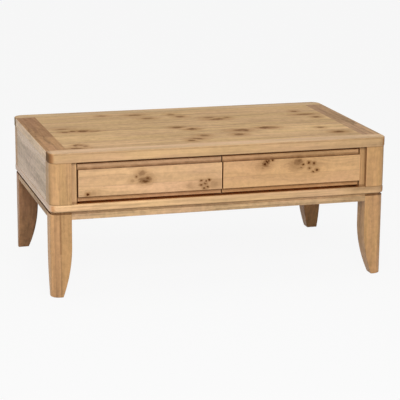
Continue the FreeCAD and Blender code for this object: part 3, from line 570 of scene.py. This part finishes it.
def oak(name, tint, axis, box, settings, seed=0, knots=(), face="y", staves=None, stave_tone=0.5, figure=0.6,
        fibre=0.8, mottle=0.4, streak=0.75, pores=0.5, worn=0.25, worn_tone=1.4, worn_width=1.0, side=None,
        stain=(), wax=(), gloss=0.2, roughness=0.45):
    """Oiled oak for one board: grain along an axis, knots on the named face, edges lightened as wear and
    painted highlight, on some boards darkened as painted shade, and end grain.

    Staves are given as the axis across them, the place of one glue line and their width. A side is an axis,
    and the colour and roughness of the faces that look along it; that colour is painted light.
    The stain and shade places hold painted warm shade, and the shade and dark wood places hold painted shade
    and darker wood."""
    sizes = settings.figure
    tints = settings.colours
    material = new_material(name)
    tree = material.node_tree
    spot = place_node(tree, "TexCoord").outputs
    place = spot["Object"]
    low, high = box

    hearts = rings = 0.0
    moved = place
    # A knot moves the ones after it, so the smallest come first
    for knot in sorted(knots, key=lambda knot: knot[2]):
        made = use_group(tree, "Oak Knot", {
            "Vector": moved, "Heart": hearts, "Ring": rings,
            "Centre": knot_centre(knot, face, box), "Size": knot_size(knot, face), "Dark": knot[4]})
        moved, hearts, rings = made["Vector"], made["Heart"], made["Ring"]
    pale = shade(tint, 1 + sizes.light)
    dark = shade(tint, 1 - sizes.depth)
    local = vector_maths(tree, "SUBTRACT", moved, (low + high) / 2)
    turned = place_node(tree, "Mapping", {"Vector": local, "Rotation": GRAIN_TURN[axis]}).outputs[0]
    shift = (SEED_STEPS[0] * seed, SEED_STEPS[1] * (seed % 5 - 2),
             sizes.heart_depth + SEED_STEPS[2] * (seed % 4))
    turned = vector_maths(tree, "ADD", turned, shift)
    if staves:
        stave_axis, first_joint, stave_width = staves
        across = place_node(tree, "SeparateXYZ", {0: place}).outputs[stave_axis]
        across = maths(tree, "SUBTRACT", across, first_joint)
        glued = use_group(tree, "Glued Staves", {"Across": across, "Width": stave_width, "Seed": seed})
        turned = vector_maths(tree, "ADD", turned, glued["Shift"])
    grain = use_group(tree, "Oak Grain", {
        "Vector": turned, "Pale": pale, "Dark": dark, "Ring Width": sizes.ring_width, "Wander": sizes.wander,
        "Figure": figure, "Fibre": fibre, "Mottle": mottle, "Streak": streak, "Pores": pores})
    base = grain["Color"]
    height = grain["Height"]
    if staves:
        darker = maths(tree, "MULTIPLY", glued["Tone"], stave_tone)
        base = mixed(tree, darker, base, shade(tint, STAVE_DARK_TONE))
        base = mixed(tree, maths(tree, "MULTIPLY", glued["Joint"], GLUE_LINE_SHARE), base, dark)
    if knots:
        base = mixed(tree, rings, base, (*tints.knot_ring, 1.0))
        base = mixed(tree, hearts, base, (*tints.knot, 1.0))
        height = maths(tree, "SUBTRACT", height, maths(tree, "MULTIPLY", hearts, KNOT_HOLLOW))
    # Painted light: faces that look along the side axis take their own colour, paler on the end board edges
    # and the front left leg, greyer on the moulding ends
    if side:
        side_axis, lit_side_tint, side_roughness = side
        lifted = mixed(tree, 1.0, base, (*[new / old for new, old in zip(lit_side_tint, tint)], 1.0), "MULTIPLY")
        lit_side_faces = stretch(tree, facing(tree, spot["Normal"], side_axis), *SIDE_FACING)
        base = mixed(tree, lit_side_faces, base, lifted)
    along = facing(tree, spot["Normal"], axis)
    ends = stretch(tree, along, *END_FACING)
    square = stretch(tree, along, *SQUARE_END_FACING)
    end_grain = mixed(tree, square, reddened(tint), shade(tint, END_GRAIN_TONE))
    base = mixed(tree, maths(tree, "MULTIPLY", ends, END_GRAIN_SHARE), base, end_grain)
    # Edges: wear and painted highlight where the arris light tone is above one, painted shade where it is
    # below
    edge = use_group(tree, "Worn Arris", {
        "Vector": place, "Low": low, "High": high, "Width": sizes.arris_width * worn_width})["Worn"]
    base = mixed(tree, maths(tree, "MULTIPLY", edge, worn), base, shade(tint, worn_tone))
    # Painted warm shade, then painted shade and darker wood, laid in their places
    for places, tone in ((stain, tints.stain), (wax, tints.wax)):
        laid = 0.0
        for place_low, place_high, fade, strength in places:
            laid = use_group(tree, "Old Wax", {
                "Vector": place, "Wax": laid, "Low": place_low, "High": place_high, "Fade": fade,
                "Strength": strength})["Wax"]
        if places:
            base = mixed(tree, laid, base, (*tone, 1.0))
    rough = maths(tree, "ADD", grain["Roughness"], roughness)
    rough = maths(tree, "ADD", rough, maths(tree, "MULTIPLY", ends, END_GRAIN_ROUGHNESS))
    if side:
        rough = maths(tree, "ADD", rough, maths(tree, "MULTIPLY", lit_side_faces, side_roughness - roughness))

    bump = place_node(tree, "Bump", {"Height": height, "Strength": BUMP_STRENGTH, "Distance": BUMP_DISTANCE})
    surface = place_node(tree, "BsdfPrincipled", {
        "Base Color": base, "Roughness": rough, "Specular IOR Level": gloss, "Normal": bump.outputs[0]})
    place_node(tree, "OutputMaterial", {"Surface": surface.outputs[0]})
    return material


def facing(tree, normal, axis):
    """How squarely a face looks along an axis, either way."""
    return maths(tree, "ABSOLUTE", vector_maths(tree, "DOT_PRODUCT", normal, GRAIN_AXIS[axis]))


def knot_centre(knot, face, box):
    """A knot's centre on the front face, or on the top of a board."""
    if face == "y":
        return (knot[0], box[0].y, knot[1])
    return (knot[0], knot[1], box[1].z)


def knot_size(knot, face):
    depth = max(knot[2], knot[3])
    if face == "y":
        return (knot[2], depth, knot[3])
    return (knot[2], knot[3], depth)


def darkened_place(box, fade, strength, x=None, y=None, z=None):
    """A darkened place, for painted shade and darker wood: a piece's box, cut to a span along each axis
    given, its fade and its thickness.
    """
    low, high = box
    spans = [span or (low[i] - fade, high[i] + fade) for i, span in enumerate((x, y, z))]
    return [span[0] for span in spans], [span[1] for span in spans], fade, strength


def up_from(level, height):
    return level, level + height


def down_from(level, depth):
    return level - depth, level


def about(level, reach):
    return level - reach, level + reach


def zinc(settings):
    """Bright zinc plating, slightly mottled."""
    material = new_material("zinc_plated_steel")
    tree = material.node_tree
    place = place_node(tree, "TexCoord").outputs["Object"]
    mottle = noise(tree, place, MARKS["zinc"], detail=3.0).outputs[0]
    tint = settings.colours.zinc
    low, high = [shade(tint, tone) for tone in ZINC_TONES]
    base = mixed(tree, stretch(tree, mottle, *NOISE_BODY), low, high)
    rough = stretch(tree, mottle, 0.3, 0.7, *ZINC_ROUGHNESS)
    surface = place_node(tree, "BsdfPrincipled", {"Base Color": base, "Roughness": rough, "Metallic": 1.0})
    place_node(tree, "OutputMaterial", {"Surface": surface.outputs[0]})
    return material


def put_on(node, material):
    """Gives a piece of the table its finish."""
    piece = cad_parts.get(node)
    if piece is None:
        raise RuntimeError("the table has no piece named " + node)
    piece.data.materials.clear()
    piece.data.materials.append(material)


def put_on_board(node, tint, axis, settings, **details):
    put_on(node, oak("oak_" + node, tint, axis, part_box(node), settings, **details))


# Operators

class TABLE_OT_top_field(bpy.types.Operator):
    """Finish the knotty panel in the middle of the top"""

    bl_idname = "coffee_table.top_field"
    bl_label = "Finish Top Field"

    def execute(self, context):
        settings = context.scene.coffee_table
        low = Vector((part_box("top_left_end_board")[1].x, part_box("top_front_rail")[1].y, CAD_BOX[0].z))
        high = Vector((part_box("top_right_end_board")[0].x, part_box("top_rear_rail")[0].y, CAD_BOX[1].z))
        staves = (1, low.y, settings.figure.stave_width)
        material = oak("oak_top_field", settings.colours.field, "x", (low, high), settings, seed=3,
                       knots=FIELD_KNOTS, face="z", staves=staves, stave_tone=0.2, figure=0.4, streak=0.5,
                       mottle=0.9, worn=0.0, gloss=0.03, roughness=0.7)
        put_on("top_field_panel", material)
        return {"FINISHED"}


class TABLE_OT_top_frame(bpy.types.Operator):
    """Finish the rails and end boards round the top"""

    bl_idname = "coffee_table.top_frame"
    bl_label = "Finish Top Frame"

    def execute(self, context):
        settings = context.scene.coffee_table
        tints = settings.colours
        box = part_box("top_front_rail")
        # Painted shade along the front arris, and darker end grain with painted shade at the left end
        wax = [
            darkened_place(box, fade=0.002, strength=0.3, y=up_from(box[0].y, RAIL_LINE_DEPTH),
                  z=(box[1].z - RAIL_LINE_FOOT, box[1].z - SKIN)),
            darkened_place(box, fade=0.014, strength=0.6, x=up_from(box[0].x, RAIL_END)),
        ]
        # The front rail's edges are lightened as wear and painted highlight, the rear rail's darkened as
        # painted shade
        put_on_board("top_front_rail", tints.front_rail, "x", settings, seed=1, figure=0.3, streak=0.4,
                     worn=0.2, worn_tone=1.25, wax=wax, gloss=0.1)
        put_on_board("top_rear_rail", tints.rear_rail, "x", settings, seed=2, worn=0.5, worn_tone=0.6,
                     gloss=0.1, roughness=0.55)
        for seed, side in enumerate(SIDES, start=4):
            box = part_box("top_" + side + "_end_board")
            inner = box[1].x if side == "left" else box[0].x
            wax = [darkened_place(box, fade=INNER_EDGE, strength=INNER_EDGE_WAX[side], x=about(inner, INNER_EDGE),
                         y=(INNER_EDGE_START, box[1].y), z=down_from(box[1].z, SKIN))]
            tint = getattr(tints, side + "_end_board")
            # The outer edge faces are painted paler as painted light, and the edges darkened as painted shade
            put_on_board("top_" + side + "_end_board", tint, "y", settings, seed=seed,
                         side=("x", tints.board_edge, SIDE_ROUGHNESS["end_board"]), mottle=1.2, streak=0.6,
                         worn=0.15, worn_tone=0.7, wax=wax, gloss=0.35, roughness=0.8)
        return {"FINISHED"}


class TABLE_OT_drawer_fronts(bpy.types.Operator):
    """Finish the two knotty drawer fronts"""

    bl_idname = "coffee_table.drawer_fronts"
    bl_label = "Finish Drawer Fronts"

    def execute(self, context):
        settings = context.scene.coffee_table
        tints = {"left": settings.colours.left_drawer, "right": settings.colours.right_drawer}
        for seed, side in enumerate(SIDES, start=6):
            node = side + "_drawer_front"
            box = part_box(node)
            band = box[0].y + BAND_DEPTH
            ledge = box[1].z - UPPER_BAND
            foot = box[0].z + LOWER_BAND
            face = down_from(band, SKIN)
            # Painted shade on the ledge and at the foot of the upper band, over the lower band, under the
            # raised field and in the gap at the left end
            wax = [
                darkened_place(box, fade=0.0035, strength=0.7, y=down_from(band, LEDGE_DEPTH),
                      z=(ledge - SKIN, ledge + THIN_SKIN)),
                darkened_place(box, fade=0.012, strength=0.6, y=face, z=about(ledge, SKIN)),
                darkened_place(box, fade=0.001, strength=LOWER_BAND_SHADE[side], y=face, z=(box[0].z, foot)),
                darkened_place(box, fade=0.005, strength=0.5, y=face, z=down_from(foot, FOOT_LINE)),
                darkened_place(box, fade=0.0012, strength=0.75, x=up_from(box[0].x, LEFT_END_LINE)),
            ]
            # Painted warm shade on the top edge, seen in the shaded gap under the top, and on the lower band
            stain = [
                darkened_place(box, fade=0.001, strength=0.3, y=(band, box[1].y),
                      z=down_from(box[1].z, TOP_EDGE_LINE)),
                darkened_place(box, fade=0.001, strength=LOWER_BAND_WARM_SHADE, y=face, z=(box[0].z, foot)),
            ]
            if side == "left":
                wax.append(darkened_place(box, fade=0.006, strength=0.2, x=(DARK_STREAK_START, box[1].x),
                                 z=DARK_STREAK))
            else:
                # Painted shade at the right end of the upper band, beside the stile
                wax.append(darkened_place(box, fade=0.0015, strength=0.85, x=down_from(box[1].x, BAND_END_LINE),
                                 y=face))
            staves = (2, DRAWER_JOINT[side], settings.figure.drawer_stave_width)
            # The edges are lightened as wear and painted highlight
            put_on_board(node, tints[side], "x", settings, seed=seed, knots=DRAWER_KNOTS[side], staves=staves,
                         stave_tone=0.25, figure=0.4, fibre=0.5, mottle=0.9, streak=0.35, worn=0.9,
                         worn_width=1.4, stain=stain, wax=wax, gloss=0.08)
        return {"FINISHED"}


class TABLE_OT_case(bpy.types.Operator):
    """Finish the posts, stiles and panels of the case"""

    bl_idname = "coffee_table.case"
    bl_label = "Finish Case"

    def execute(self, context):
        settings = context.scene.coffee_table
        tints = settings.colours
        for seed, corner in enumerate(CORNERS, start=10):
            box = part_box(corner + "_post")
            # Painted shade at the head and foot of each post, and on the inner edge of each front post
            wax = [
                darkened_place(box, fade=0.001, strength=0.4, z=down_from(box[1].z, POST_HEAD)),
                darkened_place(box, fade=0.0015, strength=0.25, z=up_from(box[0].z, POST_FOOT)),
            ]
            if corner in FRONT_CORNERS:
                inner = box[1].x if corner.endswith("left") else box[0].x
                wax.append(darkened_place(box, fade=0.001, strength=0.65, x=about(inner, THIN_SKIN),
                                 y=(box[0].y + POST_EDGE[0], box[0].y + POST_EDGE[1])))
            tint = tints.left_post if corner.endswith("left") else tints.right_post
            put_on_board(corner + "_post", tint, "z", settings, seed=seed, figure=0.4, streak=0.5, mottle=0.9,
                         wax=wax)
        for seed, side in enumerate(SIDES, start=14):
            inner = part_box("front_left_post")[1].x if side == "left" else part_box("front_right_post")[0].x
            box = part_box(side + "_stile")
            # Painted shade beside the post and at the foot of each stile
            wax = [
                darkened_place(box, fade=0.004, strength=0.4, x=about(inner, THIN_SKIN)),
                darkened_place(box, fade=0.004, strength=0.5, z=up_from(box[0].z, STILE_FOOT)),
            ]
            put_on_board(side + "_stile", getattr(tints, side + "_stile"), "z", settings, seed=seed, wax=wax)
            put_on_board(side + "_end_panel", tints.panel, "y", settings, seed=seed + 2, worn=0.1, mottle=1.6,
                         fibre=1.3, streak=0.8, gloss=0.4, roughness=0.32)
        put_on_board("back_panel", tints.panel, "x", settings, seed=18, worn=0.1)
        return {"FINISHED"}


class TABLE_OT_stand(bpy.types.Operator):
    """Finish the base frame, legs and aprons"""

    bl_idname = "coffee_table.stand"
    bl_label = "Finish Stand"

    def execute(self, context):
        settings = context.scene.coffee_table
        tints = settings.colours
        for seed, part in enumerate(ENDS + SIDES, start=20):
            axis = "x" if part in ENDS else "y"
            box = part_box("base_frame_" + part)
            stain = []
            wax = []
            if part == "front":
                # Painted warm shade in the finger groove under the drawers
                stain.append(darkened_place(box, fade=0.001, strength=0.9, x=about(0.0, GROOVE_REACH), y=GROOVE_EDGES,
                                   z=(box[1].z - GROOVE_DEPTH, box[1].z - THIN_SKIN)))
            if part in ("front", "right"):
                # Painted shade at the front right corner of the moulding
                wax.append(darkened_place(box, fade=0.06, strength=0.3, x=RIGHT_CORNER_SHADE_X, y=RIGHT_CORNER_SHADE_Y))
            if part == "front":
                # Painted shade on the base frame in front of the foot of each stile
                for stile in (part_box("left_stile"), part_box("right_stile")):
                    wax.append(darkened_place(box, fade=0.004, strength=0.55, x=(stile[0].x, stile[1].x),
                                     y=(stile[0].y - STILE_LEDGE[0], stile[0].y + STILE_LEDGE[1]),
                                     z=down_from(box[1].z, SKIN)))
            # Painted sheen: the end faces of the side mouldings take a greyer colour
            side = ("x", tints.moulding_end, SIDE_ROUGHNESS["moulding"]) if part in SIDES else None
            # The moulding's edges are darkened as painted shade
            put_on_board("base_frame_" + part, tints.moulding, axis, settings, seed=seed, worn=0.5,
                         worn_tone=0.7, worn_width=2.0, side=side, stain=stain, wax=wax,
                         gloss=0.2 if part in ENDS else 0.4)
            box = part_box(part + "_apron")
            # Painted shade in the quirk under the moulding
            wax = [darkened_place(box, fade=0.001, strength=APRON_QUIRK_SHADE[part], z=down_from(box[1].z, QUIRK_HEIGHT))]
            if part == "front":
                # Painted shade towards the right end of the front apron
                wax.append(darkened_place(box, fade=0.06, strength=0.35, x=APRON_END_SHADE))
            put_on_board(part + "_apron", tints.apron, axis, settings, seed=seed + 4, mottle=1.2, wax=wax,
                         gloss=0.2 if part in ENDS else 0.05)
        for seed, corner in enumerate(CORNERS, start=28):
            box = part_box(corner + "_leg")
            tint = getattr(tints, corner + "_leg")
            # Painted shade in the quirk under the moulding
            wax = [darkened_place(box, fade=0.001, strength=LEG_QUIRK_SHADE[corner], z=down_from(box[1].z, QUIRK_HEIGHT))]
            staves = side = None
            if corner == "front_left":
                staves = (0, LEG_JOINT, settings.figure.stave_width)
                # Painted light: the left-facing faces of the front left leg are painted paler
                side = ("x", shade(tint, LEG_LIT_SIDE_TONE), SIDE_ROUGHNESS["leg"])
                wax.append(darkened_place(box, fade=0.004, strength=0.35, x=about(LEG_JOINT, SKIN), z=LEG_JOINT_SPAN))
            put_on_board(corner + "_leg", tint, "z", settings, seed=seed, figure=0.5, streak=0.5, mottle=1.2,
                         staves=staves, side=side, wax=wax)
        return {"FINISHED"}


class TABLE_OT_drawer_boxes(bpy.types.Operator):
    """Finish the sides, backs, stops and bottoms of the drawers"""

    bl_idname = "coffee_table.drawer_boxes"
    bl_label = "Finish Drawer Boxes"

    def execute(self, context):
        settings = context.scene.coffee_table
        tints = settings.colours
        axes = {"outer_side": "y", "inner_side": "y", "back": "x", "stop_block": "x"}
        for start, side in zip((40, 50), SIDES):
            for seed, part in enumerate(axes, start=start):
                put_on_board(side + "_drawer_" + part, tints.drawer_box, axes[part], settings, seed=seed)
            put_on_board(side + "_drawer_bottom", tints.plywood, "x", settings, seed=start + 5, figure=0.8,
                         pores=0.2, worn=0.0)
        return {"FINISHED"}


class TABLE_OT_inside(bpy.types.Operator):
    """Finish the rails, divider, guides, runners, cleats, blocks and dowels inside"""

    bl_idname = "coffee_table.inside"
    bl_label = "Finish Inside"

    def execute(self, context):
        settings = context.scene.coffee_table
        tint = settings.colours.inside
        along_x = ["front_tie_rail", "rear_tie_rail", "corner_blocks"]
        along_y = ["centre_divider"]
        for side in SIDES:
            for name in ("_drawer_guide", "_outer_runner", "_inner_runner", "_top_cleat"):
                along_y.append(side + name)
        boards = [(node, "x") for node in along_x] + [(node, "y") for node in along_y]
        boards.append(("case_dowels", "z"))
        for seed, (node, axis) in enumerate(boards, start=60):
            put_on_board(node, tint, axis, settings, seed=seed, worn=0.1)
        return {"FINISHED"}


class TABLE_OT_fixings(bpy.types.Operator):
    """Finish the screws, bolts, washers and nuts"""

    bl_idname = "coffee_table.fixings"
    bl_label = "Finish Fixings"

    def execute(self, context):
        material = zinc(context.scene.coffee_table)
        nodes = ["runner_screws", "guide_screws", "top_screws", "corner_block_screws", "leg_bolts",
                 "leg_washers", "leg_nuts", "left_drawer_screws", "right_drawer_screws"]
        for node in nodes:
            put_on(node, material)
        return {"FINISHED"}


class TABLE_OT_stage(bpy.types.Operator):
    """Set up the floor, the lamps, the sky and the camera"""

    bl_idname = "coffee_table.stage"
    bl_label = "Set Up Studio"

    def execute(self, context):
        studio = context.scene.coffee_table.studio
        context.scene.view_settings.view_transform = "Standard"
        add_floor(studio)
        add_lamp("key", studio, studio.key_bearing, studio.key_elevation)
        add_lamp("top", studio, 0.0, math.pi / 2)
        add_lamp("side", studio, math.pi / 2, studio.side_elevation)
        back = add_lamp("back", studio, studio.back_bearing, studio.back_elevation)
        back.visible_glossy = False
        back.visible_camera = False
        lit = bpy.data.collections.new("lit_from_behind")
        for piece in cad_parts.values():
            lit.objects.link(piece)
        back.light_linking.receiver_collection = lit
        light_sky(context.scene, studio)
        add_camera(context.scene, studio)
        return {"FINISHED"}


def add_object(name, data):
    made = bpy.data.objects.new(name, data)
    bpy.context.scene.collection.objects.link(made)
    return made


def shown_rays(tree):
    """One for rays that show the backdrop as it looks, to the camera, in gloss or through glass."""
    rays = place_node(tree, "LightPath").outputs
    seen = maths(tree, "MAXIMUM", rays["Is Camera Ray"], rays["Is Glossy Ray"])
    return maths(tree, "MAXIMUM", seen, rays["Is Transmission Ray"])


def add_floor(studio):
    """A wide pale floor that shows white and keeps a faint shadow."""
    mesh = bpy.data.meshes.new("floor")
    shape = bmesh.new()
    bmesh.ops.create_grid(shape, x_segments=1, y_segments=1, size=FLOOR_REACH)
    shape.to_mesh(mesh)
    shape.free()
    floor = add_object("floor", mesh)
    material = new_material("pale_floor")
    tree = material.node_tree
    shown = studio.backdrop * (1 - studio.shadow)
    glow = place_node(tree, "Emission", {"Color": (1, 1, 1, 1), "Strength": shown})
    catch = studio.backdrop * studio.shadow
    catcher = place_node(tree, "BsdfDiffuse", {"Color": (catch, catch, catch, 1)})
    seen = place_node(tree, "AddShader", {0: glow.outputs[0], 1: catcher.outputs[0]})
    bounce = place_node(tree, "BsdfDiffuse", {"Color": (studio.floor, studio.floor, studio.floor, 1)})
    choice = place_node(tree, "MixShader", {0: shown_rays(tree), 1: bounce.outputs[0], 2: seen.outputs[0]})
    place_node(tree, "OutputMaterial", {"Surface": choice.outputs[0]})
    mesh.materials.append(material)


def add_lamp(name, studio, bearing, elevation):
    """A square soft lamp aimed at the middle of the table, placed by its bearing and elevation."""
    lamp = bpy.data.lights.new(name, "AREA")
    lamp.shape = "SQUARE"
    lamp.size = getattr(studio, name + "_size")
    lamp.energy = getattr(studio, name + "_power")
    made = add_object(name, lamp)
    flat = math.cos(elevation)
    direction = Vector((-math.sin(bearing) * flat, -math.cos(bearing) * flat, math.sin(elevation)))
    made.location = Vector((0, 0, CAD_BOX[1].z / 2)) + direction * getattr(studio, name + "_distance")
    made.rotation_euler = direction.to_track_quat("Z", "Y").to_euler()
    return made


def light_sky(scene, studio):
    """Even light from all round, which shows white."""
    world = bpy.data.worlds.new("studio")
    world.use_nodes = True
    tree = world.node_tree
    tree.nodes.clear()
    strength = stretch(tree, shown_rays(tree), 0.0, 1.0, studio.sky, studio.backdrop)
    sky = place_node(tree, "Background", {"Color": (1, 1, 1, 1), "Strength": strength})
    place_node(tree, "OutputWorld", {"Surface": sky.outputs[0]})
    scene.world = world


def add_camera(scene, studio):
    """The camera at the photograph's place and angle, for a square picture."""
    lens = bpy.data.cameras.new("camera")
    lens.lens = studio.camera_lens
    camera = add_object("camera", lens)
    camera.matrix_world = (
        Matrix.Translation(studio.camera_place)
        @ Matrix.Rotation(-studio.camera_bearing, 4, "Z")
        @ Matrix.Rotation(math.pi / 2 - studio.camera_tilt, 4, "X")
        @ Matrix.Rotation(studio.camera_roll, 4, "Z"))
    scene.camera = camera


# Panel and registration

class TABLE_PG_settings(bpy.types.PropertyGroup):
    """All the settings of the coffee table"""

    colours: PointerProperty(type=TABLE_PG_colours)
    figure: PointerProperty(type=TABLE_PG_figure)
    studio: PointerProperty(type=TABLE_PG_studio)


STEPS = (TABLE_OT_top_field, TABLE_OT_top_frame, TABLE_OT_drawer_fronts, TABLE_OT_case, TABLE_OT_stand,
         TABLE_OT_drawer_boxes, TABLE_OT_inside, TABLE_OT_fixings, TABLE_OT_stage)


class TABLE_PT_panel(bpy.types.Panel):
    """Steps and settings of the coffee table"""

    bl_idname = "TABLE_PT_panel"
    bl_label = "Coffee Table"
    bl_space_type = "VIEW_3D"
    bl_region_type = "UI"
    bl_category = "Coffee Table"

    def draw(self, context):
        layout = self.layout
        for step in STEPS:
            layout.operator(step.bl_idname)
        settings = context.scene.coffee_table
        for group in (settings.colours, settings.figure, settings.studio):
            box = layout.box()
            for name in group.__annotations__:
                box.prop(group, name)


CLASSES = (TABLE_PG_colours, TABLE_PG_figure, TABLE_PG_studio, TABLE_PG_settings, *STEPS, TABLE_PT_panel)


def register():
    for made in CLASSES:
        bpy.utils.register_class(made)
    bpy.types.Scene.coffee_table = PointerProperty(type=TABLE_PG_settings)


def unregister():
    del bpy.types.Scene.coffee_table
    for made in reversed(CLASSES):
        bpy.utils.unregister_class(made)


def main():
    register()
    make_shared_groups()
    for step in STEPS:
        family, name = step.bl_idname.split(".")
        getattr(getattr(bpy.ops, family), name)()


if __name__ == "__main__":
    main()
